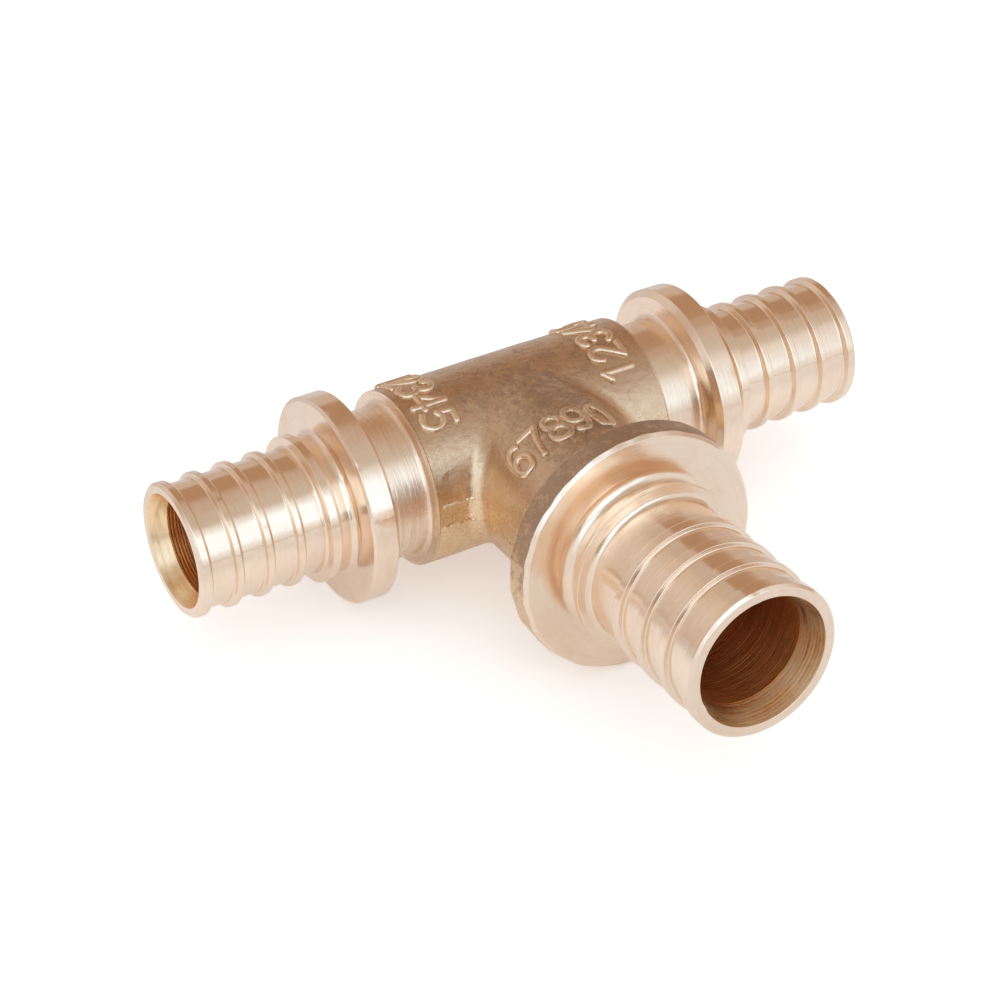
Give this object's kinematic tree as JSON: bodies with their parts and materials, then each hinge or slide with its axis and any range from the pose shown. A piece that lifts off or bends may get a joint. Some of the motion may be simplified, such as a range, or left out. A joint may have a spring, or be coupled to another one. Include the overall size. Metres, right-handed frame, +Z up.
{
  "type": "pex sleeve tee",
  "caption": "Reducing brass pipe tee for plastic heating pipe: straight run with two ribbed tails, larger ribbed side tail, round stop collars, made for press-on sleeves",
  "frame": {"origin": "where the axis of the branch meets the axis of the run", "axes": "X along the run, the branch points along -Y, +Z up out of the plane of the tee"},
  "size_m": [0.096, 0.0711, 0.0324],
  "materials": {
    "brass": "turned bright on the tails and collars, as pressed on the body"
  },
  "bodies": {
    "root": {"tee_body": "brass"}
  },
  "joints": []
}
